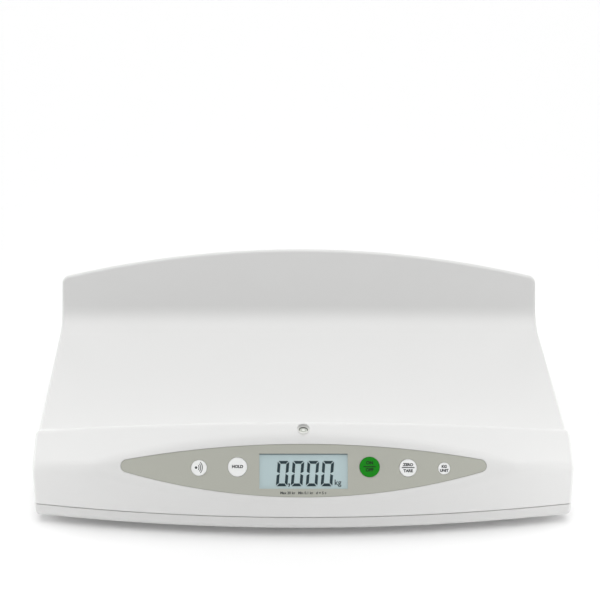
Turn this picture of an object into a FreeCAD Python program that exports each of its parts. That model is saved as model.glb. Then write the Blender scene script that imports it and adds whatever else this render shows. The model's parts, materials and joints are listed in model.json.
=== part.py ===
"""Digital baby weighing scale: a cradle-shaped weighing tray with a front console,
standing on a low housing with a single-point load cell and four levelling feet.

Frame: +X right, +Y to the back, +Z up, origin on the floor under the middle of the scale.
"""
import FreeCAD, Part
import math
import os
import re
import Sketcher

# Driving sizes in millimetres and degrees: name, value, meaning.
SIZES = (
    # the whole scale
    ("width", 553, "overall width"),
    ("depth", 330, "overall depth, base front to rim back"),
    ("height", 155, "floor to the top of the back rim's arch"),
    ("bow_radius", 1750, "plan radius of the bowed front"),
    ("shell_wall", 3, "wall of the tray shell and the housing"),
    ("end_radius", 4, "rounding of the tray's end edges and rim, and of the upright corners"),
    ("overshoot", 1, "how far a cut runs past the face that it opens"),
    ("console_cut", 33, "length of the cuts behind the panel, through the console's wall"),
    # heights of the housing
    ("base_clearance", 9, "floor to the housing's underside"),
    ("base_wall_height", 14.3, "height of the housing's outer wall"),
    ("parting_gap", 1.2, "gap between the housing and the tray shell"),
    # front console, in the middle section
    ("lower_tilt", 10.5, "lean of the lower front from vertical"),
    ("upper_tilt", 63.7, "lean of the upper front from vertical"),
    ("crease_height", 55.2, "shell's lower edge to the crease"),
    ("crest_rise", 24.2, "crease to the crest"),
    ("crease_radius", 16, "rounding of the crease"),
    ("crest_radius", 10, "rounding of the crest"),
    # tray
    ("trough_drop", 29.7, "crest to the front of the tray floor"),
    ("slope_angle", 60, "rise of the tray's front slope"),
    ("floor_slope", 2.5, "rise of the tray floor towards the back"),
    ("toe_radius", 12, "rounding between front slope and floor"),
    ("bend_radius", 37, "rounding between floor and back wall"),
    ("wall_tilt", 32, "lean of the back wall from vertical"),
    ("rim_depth", 9, "depth of the back wall's turned rim"),
    ("rim_back_radius", 2, "rounding of the rim's back edge"),
    ("rim_corner_radius", 9, "rounding of the back wall's two upper corners"),
    ("arch_radius", 1190, "radius of the back wall's arched top"),
    ("skirt_inset", 47, "rim back to the housing's back face"),
    ("rib_thickness", 2, "ribs of the shells"),
    ("rib_rise", 8, "ribs under the tray floor above the bracket"),
    ("rib_spacing", 80, "outer ribs from the bracket's ends"),
    ("rim_pocket_start", 7, "heel to the hollow behind the leaning wall"),
    # control panel
    ("panel_tilt", 36.5, "lean of the panel from vertical"),
    ("facet_depth", 16.4, "how deep the flat facet cuts under the crease"),
    ("facet_upper_radius", 20, "rounding between the upper front and the facet"),
    ("panel_lift", 3, "crease's foot on the facet to the panel's tip line"),
    ("panel_half_length", 205.5, "middle to the point where the panel's two arcs meet"),
    ("panel_rise", 20.4, "tip line to the top of the panel"),
    ("panel_fall", 32.9, "tip line to the bottom of the panel"),
    ("panel_tip_radius", 6.4, "rounding of the panel's tips"),
    ("panel_thickness", 1, "thickness of the panel foil carrier"),
    ("panel_recess", 0.5, "how far the panel lies under the facet"),
    ("panel_fit", 0.3, "gap round the panel in its recess"),
    # display
    ("window_width", 89.5, "visible window width"),
    ("window_height", 35.3, "visible window height"),
    ("window_drop", 6.9, "window centre under the tip line"),
    ("window_lap", 3, "how far the window plate passes behind the panel"),
    ("window_thickness", 1.5, "window plate"),
    ("lcd_margin", 1, "how far the display glass passes the visible window"),
    ("lcd_thickness", 2.5, "display glass"),
    ("backlight_thickness", 3, "light guide behind the glass"),
    ("frame_wall", 2.5, "wall of the display frame"),
    ("seat_fit", 0.2, "gap of a part in its seat"),
    ("board_depth", 12, "facet to the front of the circuit board"),
    ("board_thickness", 1.6, "circuit board"),
    ("board_half_height", 19, "half the board's height"),
    ("board_margin", 12, "board past the outermost key centres"),
    ("chip_size", 12, "processor"),
    ("chip_height", 1.5, "processor and drivers"),
    ("driver_size", 6, "display drivers"),
    ("driver_pitch", 14, "distance between the processor and the drivers"),
    ("buzzer_offset", 45, "middle to the buzzer"),
    ("buzzer_radius", 6, "buzzer"),
    ("buzzer_height", 5, "buzzer"),
    # keys
    ("inner_key_offset", 66.9, "middle to the two inner keys"),
    ("outer_key_offset", 105.9, "middle to the next two keys"),
    ("unit_key_offset", 142.4, "middle to the small key"),
    ("inner_key_drop", 2.7, "two inner keys under the tip line"),
    ("outer_key_drop", 3.6, "next two keys under the tip line"),
    ("unit_key_drop", 4.2, "small key under the tip line"),
    ("sound_key_radius", 7.9, "sound key"),
    ("hold_key_radius", 9.65, "hold key"),
    ("power_key_radius", 10.15, "power key"),
    ("zero_key_radius", 8.75, "zero key"),
    ("unit_key_radius", 6, "unit key"),
    ("key_gap", 0.3, "radial gap round a key"),
    ("key_proud", 0.6, "key face above the panel"),
    ("key_travel", 0.8, "stroke of a key"),
    ("key_lip", 1.5, "width of the lip that keeps a key in"),
    ("key_lip_thickness", 1, "thickness of that lip"),
    ("key_lip_gap", 0.3, "gap between the lip and the shell"),
    ("key_edge", 0.3, "chamfer of a key's face"),
    ("key_post_radius", 2, "post that presses the switch"),
    ("switch_size", 6, "side of a push switch"),
    ("switch_height", 3.5, "push switch"),
    ("plunger_radius", 1.7, "switch plunger"),
    ("plunger_stand", 1, "plunger above the switch at rest"),
    # small screws
    ("screw_radius", 1.5, "board screws"),
    ("screw_head_radius", 2.8, "board screw heads"),
    ("screw_head_height", 2, "board screw heads"),
    ("screw_grip", 5, "board screws inside their bosses"),
    ("board_boss_radius", 3.5, "bosses for the board screws"),
    # spirit level
    ("level_setback", -9.7, "crest to the level's centre"),
    ("level_drop", 5.9, "crest to the top of the level"),
    ("level_radius", 6, "spirit level cup"),
    ("level_height", 6, "spirit level cup"),
    ("level_wall", 1.2, "wall of the cup"),
    ("level_boss_wall", 2, "wall of the boss that holds the cup"),
    # weighing mechanism
    ("floor_thickness", 2.5, "floor of the housing"),
    ("plate_gap", 4.5, "housing floor to the base plate"),
    ("plate_thickness", 3, "steel plates under and over the cell"),
    ("plate_half_length", 130, "half the base plate's length"),
    ("plate_half_depth", 60, "half the base plate's depth"),
    ("plate_corner_radius", 10, "corners of the base plate"),
    ("cell_length", 130, "load cell"),
    ("cell_depth", 30, "load cell"),
    ("cell_height", 22, "load cell"),
    ("cell_bore_radius", 8, "the two bores of the cell's window"),
    ("cell_bore_offset", 14, "middle to each bore"),
    ("cell_slot_height", 5, "slot that joins the bores"),
    ("spacer_length", 32, "spacers at the two ends of the cell"),
    ("spacer_thickness", 3, "spacers at the two ends of the cell"),
    ("cell_screw_radius", 2.95, "cell screws"),
    ("cell_screw_pitch", 15, "distance between a pair of cell screws"),
    ("cell_screw_grip", 14, "cell screws inside the cell"),
    ("cell_screw_head_radius", 5, "cell screw heads"),
    ("cell_screw_head_height", 3.5, "cell screw heads"),
    ("hole_clearance", 0.25, "clearance holes over their screws"),
    ("bracket_half_length", 125, "half the tray bracket's length"),
    ("bracket_front", -65, "front edge of the tray bracket"),
    ("bracket_back", 75, "back edge of the tray bracket"),
    ("bracket_flange", 9, "turned-down edges of the bracket"),
    ("bracket_screw_inset", 14, "bracket screws from its edges"),
    ("bracket_screw_radius", 1.95, "bracket screws"),
    ("bracket_screw_head_radius", 4, "bracket screw heads"),
    ("bracket_screw_head_height", 2.5, "bracket screw heads"),
    ("bracket_screw_grip", 10, "bracket screws inside the bosses"),
    ("tray_boss_radius", 5.5, "bosses under the tray"),
    ("platform_travel", 0.8, "how far the tray can sink"),
    ("stop_clearance", 0.05, "stop gap left at full travel"),
    ("stop_radius", 4, "overload stops"),
    ("stop_inset", 30, "overload stops from the base plate's ends"),
    ("stop_inset_y", 15, "overload stops from the base plate's long edges"),
    ("plate_boss_radius", 5, "bosses under the base plate"),
    ("plate_screw_inset", 12, "base plate screws from its corners"),
    ("plate_screw_radius", 2, "base plate screws"),
    ("plate_screw_head_radius", 4, "base plate screw heads"),
    ("plate_screw_head_height", 2.5, "base plate screw heads"),
    # housing
    ("lip_inset", 4.5, "housing's inner lip from the outside"),
    ("lip_thickness", 1.5, "housing's inner lip"),
    ("lip_height", 6, "lip above the housing's wall"),
    ("underside_radius", 5.5, "rounding of the housing's lower edge"),
    ("base_edge_radius", 0.8, "rounding of the housing's upper edge"),
    # levelling feet
    ("foot_inset_x", 70, "feet from the ends"),
    ("foot_inset_front", 55, "front feet from the front"),
    ("foot_inset_back", 33, "back feet from the housing's back"),
    ("pad_radius", 13, "rubber pad"),
    ("pad_height", 4.2, "rubber pad"),
    ("pad_socket_depth", 3, "socket of the pad for the stud's tip"),
    ("stud_tip_radius", 3, "stud tip"),
    ("stud_radius", 4, "stud"),
    ("stud_length", 21, "stud above the pad"),
    ("running_fit", 0.06, "radial gap of a turning fit"),
    ("axial_gap", 0.3, "axial gap between turning pieces"),
    ("wheel_radius", 16, "thumb wheel"),
    ("wheel_height", 6.2, "thumb wheel"),
    ("wheel_scallops", 12, "grip scallops round the wheel"),
    ("wheel_scallop_radius", 2.2, "grip scallops"),
    ("recess_gap", 2, "gap round the wheel in the housing"),
    ("insert_radius", 5.5, "threaded bush"),
    ("insert_length", 10, "threaded bush"),
    ("foot_boss_wall", 4, "wall of the boss round the bush"),
    ("foot_travel", 4, "how far a foot unscrews"),
    # battery box
    ("cell_count", 4, "batteries side by side"),
    ("battery_radius", 7.25, "battery"),
    ("battery_length", 50.5, "battery with its cap"),
    ("battery_cap_radius", 2.7, "battery cap"),
    ("battery_cap_height", 1, "battery cap"),
    ("battery_pitch", 15, "distance between batteries"),
    ("contact_space", 8, "room for the contacts at the two ends"),
    ("contact_thickness", 0.5, "contact plates"),
    ("contact_spring_radius", 4, "contact springs"),
    ("box_start_x", 150, "battery box from the middle"),
    ("box_centre_y", -12, "battery box centre"),
    ("box_wall", 6, "walls of the battery box"),
    ("box_roof", 2, "roof of the battery box"),
    ("pocket_height", 16, "battery pocket"),
    ("door_thickness", 1.8, "battery door"),
    ("door_lap", 2.5, "ledge that the door lies on"),
    ("door_gap", 0.35, "gap round the door"),
    ("barrel_radius", 2, "hinge barrel of the door"),
    ("pin_radius", 1.2, "hinge pins of the door"),
    ("pin_length", 2, "hinge pins of the door"),
    ("latch_width", 12, "latch of the door"),
    ("latch_height", 3.2, "latch of the door"),
    ("latch_thickness", 1.4, "latch of the door"),
)

# Sizes that follow from the driving ones.
DERIVED = (
    ("half_width", "width / 2"),
    ("front_y", "-depth / 2"),
    ("base_top", "base_clearance + base_wall_height"),
    ("parting_z", "base_top + parting_gap"),
    ("shell_front_y", "front_y + (parting_z - base_clearance - underside_radius) * tan(lower_tilt)"
                      " - underside_radius * (1 / cos(lower_tilt) - 1)"),
    ("crease_y", "shell_front_y + crease_height * tan(lower_tilt)"),
    ("crease_z", "parting_z + crease_height"),
    ("crest_y", "crease_y + crest_rise * tan(upper_tilt)"),
    ("crest_z", "crease_z + crest_rise"),
    ("toe_y", "crest_y + trough_drop / tan(slope_angle)"),
    ("toe_z", "crest_z - trough_drop"),
    ("apex_y", "depth / 2 - rim_depth * cos(wall_tilt)"
               " + rim_back_radius * (sin(wall_tilt) + cos(wall_tilt) - 1)"),
    ("apex_z", "height + end_radius * (sin(wall_tilt) + cos(wall_tilt) - 1)"),
    ("lean", "tan(wall_tilt)"),
    ("heel_y", "(apex_y - lean * (apex_z - toe_z) - lean * tan(floor_slope) * toe_y)"
               " / (1 - lean * tan(floor_slope))"),
    ("heel_z", "toe_z + (heel_y - toe_y) * tan(floor_slope)"),
    ("wall_length", "(apex_z - heel_z) / cos(wall_tilt)"),
    ("core_toe_y", "toe_y + shell_wall * (1 / cos(floor_slope) - 1 / cos(slope_angle))"
                   " / (tan(floor_slope) + tan(slope_angle))"),
    ("core_toe_z", "toe_z - shell_wall / cos(floor_slope) + (core_toe_y - toe_y) * tan(floor_slope)"),
    ("core_heel_y", "heel_y + shell_wall * (1 / cos(wall_tilt) - lean / cos(floor_slope))"
                    " / (1 - lean * tan(floor_slope))"),
    ("core_heel_z", "core_toe_z + (core_heel_y - core_toe_y) * tan(floor_slope)"),
    ("skirt_y", "depth / 2 - skirt_inset"),
    ("skirt_top", "heel_z - (heel_y + rim_depth / cos(wall_tilt) - skirt_y) / lean"),
    ("panel_y", "crease_y + facet_depth * cos(panel_tilt) + panel_lift * sin(panel_tilt)"),
    ("panel_z", "crease_z - facet_depth * sin(panel_tilt) + panel_lift * cos(panel_tilt)"),
    ("panel_back", "panel_recess + panel_thickness"),
    ("seat_back", "panel_back + shell_wall"),
    ("rise_radius", "(panel_half_length ^ 2 + panel_rise ^ 2) / (2 * panel_rise)"),
    ("fall_radius", "(panel_half_length ^ 2 + panel_fall ^ 2) / (2 * panel_fall)"),
    ("lcd_front", "panel_back + window_thickness + seat_fit"),
    ("lcd_back", "lcd_front + lcd_thickness"),
    ("lip_front", "seat_back + key_lip_gap"),
    ("lip_back", "lip_front + key_lip_thickness"),
    ("switch_front", "board_depth - switch_height"),
    ("post_back", "switch_front - plunger_stand"),
    ("board_back", "board_depth + board_thickness"),
    ("level_y", "crest_y + level_setback"),
    ("level_z", "crest_z - level_drop - level_height"),
    ("floor_top", "base_clearance + floor_thickness"),
    ("plate_z", "floor_top + plate_gap"),
    ("cell_z", "plate_z + plate_thickness + spacer_thickness"),
    ("bracket_z", "cell_z + cell_height + spacer_thickness"),
    ("bracket_top", "bracket_z + plate_thickness"),
    ("cell_screw_x", "(cell_length - spacer_length) / 2"),
    ("foot_x", "half_width - foot_inset_x"),
    ("foot_front_y", "front_y + foot_inset_front"),
    ("foot_back_y", "skirt_y - foot_inset_back"),
    ("wheel_z", "pad_height + axial_gap"),
    ("recess_top", "wheel_z + wheel_height + axial_gap"),
    ("pocket_length", "battery_length + contact_space"),
    ("pocket_depth", "cell_count * battery_pitch"),
    ("pocket_z", "base_clearance + door_thickness + seat_fit"),
    ("pocket_x", "box_start_x + box_wall"),
    ("pocket_y", "box_centre_y - pocket_depth / 2"),
    ("battery_z", "pocket_z + pocket_height / 2"),
    ("hinge_x", "pocket_x - door_lap"),
    ("hinge_z", "base_clearance + barrel_radius"),
    ("reach", "width"),
)

DRIVING_NAMES = [row[0] for row in SIZES]
DERIVED_NAMES = [row[0] for row in DERIVED]
ALL_NAMES = set(DRIVING_NAMES + DERIVED_NAMES)

doc = FreeCAD.newDocument("baby_scale")
sheet = doc.addObject("Spreadsheet::Sheet", "Sizes")
pieces = []


def fill_sheet():
    """Write the driving sizes as plain numbers and the derived ones as formulas."""
    row = 1
    for name, value, meaning in SIZES:
        sheet.set("A%d" % row, name)
        sheet.set("B%d" % row, str(value))
        sheet.set("C%d" % row, meaning)
        sheet.setAlias("B%d" % row, name)
        row += 1
    for name, formula in DERIVED:
        sheet.set("A%d" % row, name)
        sheet.set("B%d" % row, "=" + formula)
        sheet.setAlias("B%d" % row, name)
        row += 1
    doc.recompute()


def on_sheet(formula):
    """The same formula with each size's name pointing at the sheet."""
    return re.sub(r"[a-z][a-z_]*", lambda m: "Sizes." + m.group() if m.group() in ALL_NAMES
                  else m.group(), formula)


def size(formula):
    """The present value of a formula."""
    return float(sheet.evalExpression(formula))


def bind(item, **formulas):
    """Tie an object's properties to formulas of the sheet's sizes."""
    for name, formula in formulas.items():
        item.setExpression(name, on_sheet(formula))


# A frame is the y and z of its origin and its turn about X. In the panel's and the wall's
# frames the second coordinate climbs the face and the third points out of it.
WORLD = ("0", "0", "0")
PANEL = ("panel_y", "panel_z", "90 - panel_tilt")
WALL = ("heel_y", "heel_z", "90 - wall_tilt")


def place(item, at, frame=WORLD):
    """Stand an object at a point of a frame, turned with the frame."""
    across, up, out = at
    origin_y, origin_z, turn = frame
    item.Placement.Rotation = FreeCAD.Rotation(FreeCAD.Vector(1, 0, 0), 1)
    item.setExpression("Placement.Base.x", on_sheet(across))
    item.setExpression("Placement.Base.y", on_sheet(
        "%s + (%s) * cos(%s) - (%s) * sin(%s)" % (origin_y, up, turn, out, turn)))
    item.setExpression("Placement.Base.z", on_sheet(
        "%s + (%s) * sin(%s) + (%s) * cos(%s)" % (origin_z, up, turn, out, turn)))
    item.setExpression("Placement.Rotation.Angle", on_sheet(turn))
    return item


def box(at, lengths, frame=WORLD):
    """A block from its lowest corner."""
    item = doc.addObject("Part::Box", "block")
    bind(item, Length=lengths[0], Width=lengths[1], Height=lengths[2])
    return place(item, at, frame)


def centred_box(at, lengths, frame=WORLD):
    """A block whose foot is centred on a point."""
    corner = ("%s - (%s) / 2" % (at[0], lengths[0]), "%s - (%s) / 2" % (at[1], lengths[1]), at[2])
    return box(corner, lengths, frame)


def cylinder(at, radius, length, frame=WORLD):
    """A round bar that rises from a point along its frame's third axis."""
    item = doc.addObject("Part::Cylinder", "bar")
    bind(item, Radius=radius, Height=length)
    return place(item, at, frame)


def cone(at, foot_radius, top_radius, length):
    """An upright cone from the middle of its foot."""
    item = doc.addObject("Part::Cone", "cone")
    bind(item, Radius1=foot_radius, Radius2=top_radius, Height=length)
    return place(item, at)


def lying_bar(at, radius, length, along):
    """A round bar that lies along +X or +Y from a point."""
    item = doc.addObject("Part::Cylinder", "bar")
    bind(item, Radius=radius, Height=length)
    turn = {"x": ((0, 1, 0), 90), "y": ((1, 0, 0), -90)}[along]
    item.Placement.Rotation = FreeCAD.Rotation(FreeCAD.Vector(*turn[0]), turn[1])
    item.setExpression("Placement.Base.x", on_sheet(at[0]))
    item.setExpression("Placement.Base.y", on_sheet(at[1]))
    item.setExpression("Placement.Base.z", on_sheet(at[2]))
    return item


def fuse(*items):
    """Join solids and merge the faces that lie in one surface."""
    item = doc.addObject("Part::MultiFuse", "joined")
    item.Shapes = list(items)
    item.Refine = True
    return item


def cut(base, *tools):
    """Take the tools out of the base."""
    item = doc.addObject("Part::Cut", "cut")
    item.Base = base
    item.Tool = tools[0] if len(tools) == 1 else fuse(*tools)
    item.Refine = True
    return item


def common(*items):
    """What all the solids share."""
    item = doc.addObject("Part::MultiCommon", "shared")
    item.Shapes = list(items)
    return item


def group(*items):
    """Several separate solids that make one node."""
    item = doc.addObject("Part::Compound", "group")
    item.Links = list(items)
    return item


def rounded(base, radius, chosen):
    """Round the edges that a test picks from the finished base."""
    doc.recompute()
    item = doc.addObject("Part::Fillet", "rounded")
    item.Base = base
    amount = size(radius)
    item.Edges = [(n, amount, amount) for n, edge in enumerate(base.Shape.Edges, 1) if chosen(edge)]
    doc.recompute()
    return item


def chamfered(base, amount, chosen):
    """Chamfer the edges that a test picks from the finished base."""
    doc.recompute()
    item = doc.addObject("Part::Chamfer", "chamfered")
    item.Base = base
    width = size(amount)
    item.Edges = [(n, width, width) for n, edge in enumerate(base.Shape.Edges, 1) if chosen(edge)]
    return item


def prism(outline, length):
    """A body padded both ways along X from a closed outline of (y, z) formulas."""
    body = doc.addObject("PartDesign::Body", "prism")
    sketch = body.newObject("Sketcher::SketchObject", "outline")
    plane = [item for item in body.Origin.OriginFeatures if item.Role == "YZ_Plane"][0]
    sketch.AttachmentSupport = (plane, [""])
    sketch.MapMode = "FlatFace"
    corners = [FreeCAD.Vector(size(y), size(z), 0) for y, z in outline]
    count = len(corners)
    for n in range(count):
        sketch.addGeometry(Part.LineSegment(corners[n], corners[(n + 1) % count]), False)
    for n in range(count):
        sketch.addConstraint(Sketcher.Constraint("Coincident", n, 2, (n + 1) % count, 1))
        for kind, value, formula in (("DistanceX", corners[n].x, outline[n][0]),
                                     ("DistanceY", corners[n].y, outline[n][1])):
            index = sketch.addConstraint(Sketcher.Constraint(kind, -1, 1, n, 1, value))
            sketch.setExpression("Constraints[%d]" % index, on_sheet(formula))
    pad = body.newObject("PartDesign::Pad", "pad")
    pad.Profile = sketch
    pad.Midplane = True
    bind(pad, Length=length)
    return body


def finish(item, name):
    """Name a finished sub-part and keep it for writing."""
    item.Label = name
    pieces.append(item)
    return item


def near(value, formula, slack=0.05):
    """True when a coordinate is at a formula's place."""
    return abs(value - size(formula)) < slack


def along_x(edge, y, z):
    """True for a straight edge along X at a place of the section."""
    b = edge.BoundBox
    return b.YLength < 0.01 and near(b.YMin, y) and near(b.ZMin, z) and near(b.ZMax, z)


def passes(edge, y, z, slack=0.05):
    """True for an edge that crosses the middle plane near a point."""
    point = Part.Vertex(0, size(y), size(z))
    return edge.distToShape(point)[0] < slack


def passes_end(edge, y, z):
    """True for an edge that comes near a point of an end plane."""
    point = Part.Vertex(size("half_width"), size(y), size(z))
    other = Part.Vertex(-size("half_width"), size(y), size(z))
    return min(edge.distToShape(point)[0], edge.distToShape(other)[0]) < 1


def at_end(edge):
    """True for an edge that lies in one of the two end planes."""
    b = edge.BoundBox
    return b.XLength < 0.01 and near(abs(b.XMin), "half_width")


# ---------------------------------------------------------------- outer forms

def bowed_front(inset):
    """Everything behind the lower front: a cone about an upright axis."""
    shrink = "(%s) / cos(lower_tilt)" % inset
    foot = "bow_radius + parting_z * tan(lower_tilt) - " + shrink
    top = "bow_radius - (2 * height - parting_z) * tan(lower_tilt) - " + shrink
    return cone(("0", "shell_front_y + bow_radius", "0"), foot, top, "2 * height")


def bowed_top(inset):
    """Everything under the upper front: a cylinder that lies back along the front's lean."""
    frame = ("crease_y + bow_radius * cos(upper_tilt)",
             "crease_z - bow_radius * sin(upper_tilt)", "-upper_tilt")
    return cylinder(("0", "0", "-reach"), "bow_radius - (%s)" % inset, "2 * reach", frame)


def arched_back(inset):
    """Everything under the arched rim: a cylinder square to the back wall."""
    at = ("0", "wall_length - arch_radius", "-reach")
    return cylinder(at, "arch_radius - (%s)" % inset, "2 * reach", WALL)


def facet_block(depth):
    """The space in front of the flat facet, from a depth behind it."""
    lengths = ("2 * reach", "reach", "reach")
    return box(("-reach", "-reach / 2", "-(%s)" % depth), lengths, PANEL)


def tray_outer():
    """The tray shell before it is hollowed, with its rounded edges."""
    past = "(wall_length + rim_depth)"
    rim_y = "heel_y + %s * sin(wall_tilt)" % past
    rim_z = "heel_z + %s * cos(wall_tilt)" % past
    form = prism((
        ("front_y - crest_rise", "parting_z"),
        ("skirt_y", "parting_z"),
        ("skirt_y", "skirt_top"),
        (rim_y + " + rim_depth * cos(wall_tilt)", rim_z + " - rim_depth * sin(wall_tilt)"),
        (rim_y, rim_z),
        ("heel_y", "heel_z"),
        ("toe_y", "toe_z"),
        ("crest_y - crest_rise / tan(slope_angle)", "crest_z + crest_rise"),
        ("front_y - crest_rise", "crest_z + crest_rise"),
    ), "width")
    form = rounded(form, "toe_radius", lambda e: along_x(e, "toe_y", "toe_z"))
    form = rounded(form, "bend_radius", lambda e: along_x(e, "heel_y", "heel_z"))
    form = common(form, bowed_front("0"), bowed_top("0"), arched_back("0"))
    form = rounded(form, "crease_radius", lambda e: passes(e, "crease_y", "crease_z"))
    form = rounded(form, "crest_radius", lambda e: passes(e, "crest_y", "crest_z"))
    form = rounded(form, "rim_corner_radius", lambda e: at_end(e) and near(e.Length, "rim_depth"))
    form = rounded(form, "end_radius", lambda e: at_end(e) and passes_end(e, "toe_y + toe_radius", "toe_z"))
    back_y = "apex_y + rim_depth * cos(wall_tilt)"
    back_z = "apex_z - rim_depth * sin(wall_tilt)"
    return rounded(form, "rim_back_radius", lambda e: passes(e, back_y, back_z))


def faceted(form):
    """The flat facet cut into the crease, blended into the upper front."""
    form = cut(form, facet_block("0"))
    return rounded(form, "facet_upper_radius", is_facet_top)


def is_facet_top(edge):
    """True for the edge where the facet meets the upper front."""
    b = edge.BoundBox
    return b.XLength > size("half_width / 2") and b.ZMax > size("panel_z + panel_rise * cos(panel_tilt)") \
        and b.ZLength < size("crest_rise + crease_radius") and on_facet(edge)


def on_facet(edge):
    """True for an edge that lies in the facet's plane."""
    lean = math.radians(size("panel_tilt"))
    for vertex in [edge.valueAt(edge.FirstParameter), edge.valueAt(edge.LastParameter),
                   edge.valueAt((edge.FirstParameter + edge.LastParameter) / 2)]:
        out = (size("panel_y") - vertex.y) * math.cos(lean) + (vertex.z - size("panel_z")) * math.sin(lean)
        if abs(out) > 0.01:
            return False
    return True


def tray_core():
    """The hollow under the tray, with the ribs and bosses left standing in it."""
    past_y = "core_heel_y + wall_length * sin(wall_tilt)"
    past_z = "core_heel_z + wall_length * cos(wall_tilt)"
    core = prism((
        ("front_y - crest_rise", "base_clearance"),
        ("depth / 2", "base_clearance"),
        ("depth / 2", past_z),
        (past_y, past_z),
        ("core_heel_y", "core_heel_z"),
        ("core_toe_y", "core_toe_z"),
        ("core_toe_y - crest_z / tan(slope_angle)", "core_toe_z + crest_z"),
        ("front_y - crest_rise", "core_toe_z + crest_z"),
    ), "width")
    core = rounded(core, "toe_radius + shell_wall", lambda e: along_x(e, "core_toe_y", "core_toe_z"))
    core = rounded(core, "bend_radius + shell_wall",
                   lambda e: along_x(e, "core_heel_y", "core_heel_z"))
    reach = box(("shell_wall - half_width", "front_y - crest_rise", "base_clearance"),
                ("width - 2 * shell_wall", "skirt_y - shell_wall - front_y + crest_rise", "height"))
    core = common(core, bowed_front("shell_wall"), bowed_top("shell_wall"), reach)
    core = rounded(core, "crease_radius - shell_wall",
                   lambda e: passes(e, "crease_y", "crease_z", 2 * size("shell_wall")))
    core = rounded(core, "crest_radius - shell_wall",
                   lambda e: passes(e, "crest_y", "crest_z", 2 * size("shell_wall")))
    return cut(core, facet_block("seat_back"), *(tray_ribs() + tray_bosses()))


def tray_ribs():
    """Stiffening ribs under the tray floor."""
    foot = "bracket_top + rib_rise"
    ribs = []
    for y in BRACKET_SCREW_Y:
        ribs.append(centred_box(("0", y, foot), ("width", "rib_thickness", "height")))
    for x in TRAY_RIB_X:
        ribs.append(box((x + " - rib_thickness / 2", "core_toe_y + toe_radius", foot),
                        ("rib_thickness", "skirt_y - core_toe_y", "height")))
    return ribs


def tray_bosses():
    """Bosses for the bracket screws and the cup of the spirit level."""
    bosses = [cylinder((x, y, "bracket_top"), "tray_boss_radius", "height")
              for x in BRACKET_SCREW_X for y in BRACKET_SCREW_Y]
    bosses.append(cylinder(("0", "level_y", "level_z - shell_wall"),
                           "level_radius + seat_fit + level_boss_wall", "height"))
    return bosses


def rim_pocket():
    """The hollow behind the leaning wall, between its ribs."""
    pocket = box(("shell_wall - half_width", "rim_pocket_start", "-rim_depth - bend_radius"),
                 ("width - 2 * shell_wall", "wall_length", "rim_depth + bend_radius - shell_wall"), WALL)
    ribs = [box((x + " - rib_thickness / 2", "0", "-2 * rim_depth - bend_radius"),
                ("rib_thickness", "2 * wall_length", "3 * rim_depth + bend_radius"), WALL)
            for x in TRAY_RIB_X + ("0",)]
    return cut(common(pocket, arched_back("shell_wall")), *ribs)


def lens(grow, foot, thickness):
    """The panel's outline between two arcs, as a plate in the panel's frame."""
    upper = cylinder(("0", "panel_rise - rise_radius", foot),
                     "rise_radius + " + grow, thickness, PANEL)
    lower = cylinder(("0", "fall_radius - panel_fall", foot),
                     "fall_radius + " + grow, thickness, PANEL)
    plate = common(upper, lower)
    return rounded(plate, "panel_tip_radius + " + grow,
                   lambda e: near(e.Length, thickness) and abs(e.BoundBox.Center.x) > size("half_width / 2"))


def window_block(margin, foot, thickness):
    """A block round the display window's middle, a margin larger all round."""
    return centred_box(("0", "-window_drop", foot),
                       ("window_width + 2 * (%s)" % margin, "window_height + 2 * (%s)" % margin,
                        thickness), PANEL)


def key_bars(grow, foot, length):
    """One bar for every key, with the key's radius enlarged."""
    return [cylinder((x, up, foot), "%s + %s" % (radius, grow), length, PANEL)
            for name, x, up, radius in KEYS]


def tray_shell():
    """The whole upper part: tray, console with its openings, skirt."""
    shell = cut(faceted(tray_outer()), tray_core(), rim_pocket())
    board_bosses = [cylinder((x, "-outer_key_drop", "-board_depth"), "board_boss_radius",
                             "board_depth - seat_back + panel_thickness", PANEL)
                    for x in BOARD_SCREW_X]
    shell = fuse(shell, *board_bosses)
    holes = [lens("panel_fit", "-panel_back", "depth"),
             window_block("window_lap + seat_fit", "-panel_back - window_thickness", "panel_back"),
             window_block("lcd_margin + seat_fit", "-seat_back - panel_back", "console_cut"),
             cylinder(("0", "level_y", "level_z"), "level_radius + seat_fit", "height")]
    holes += key_bars("key_gap", "-seat_back - panel_back", "console_cut")
    holes += [cylinder((x, "-outer_key_drop", "-board_depth"), "screw_radius",
                       "board_depth - seat_back", PANEL) for x in BOARD_SCREW_X]
    holes += [cylinder((x, y, "bracket_top"), "bracket_screw_radius", "bracket_screw_grip")
              for x in BRACKET_SCREW_X for y in BRACKET_SCREW_Y]
    finish(cut(shell, *holes), "platform_shell")


# ---------------------------------------------------------------- control panel

def panel_and_display():
    """Panel foil carrier, window, display stack and circuit board."""
    plate = lens("0", "-panel_back", "panel_thickness")
    openings = key_bars("key_gap", "-panel_back - overshoot", "panel_back + 2 * overshoot")
    openings.append(window_block("0", "-panel_back - overshoot", "panel_back + 2 * overshoot"))
    finish(cut(plate, *openings), "panel_overlay")
    finish(window_block("window_lap", "-panel_back - window_thickness", "window_thickness"),
           "display_window")
    finish(window_block("lcd_margin", "-lcd_back", "lcd_thickness"), "lcd_glass")
    finish(window_block("lcd_margin", "-lcd_back - backlight_thickness", "backlight_thickness"),
           "lcd_backlight")
    outer = window_block("lcd_margin + seat_fit + frame_wall", "-board_depth", "board_depth - seat_back")
    inner = window_block("lcd_margin + seat_fit", "-board_depth - overshoot", "board_depth")
    finish(cut(outer, inner), "lcd_frame")


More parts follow.
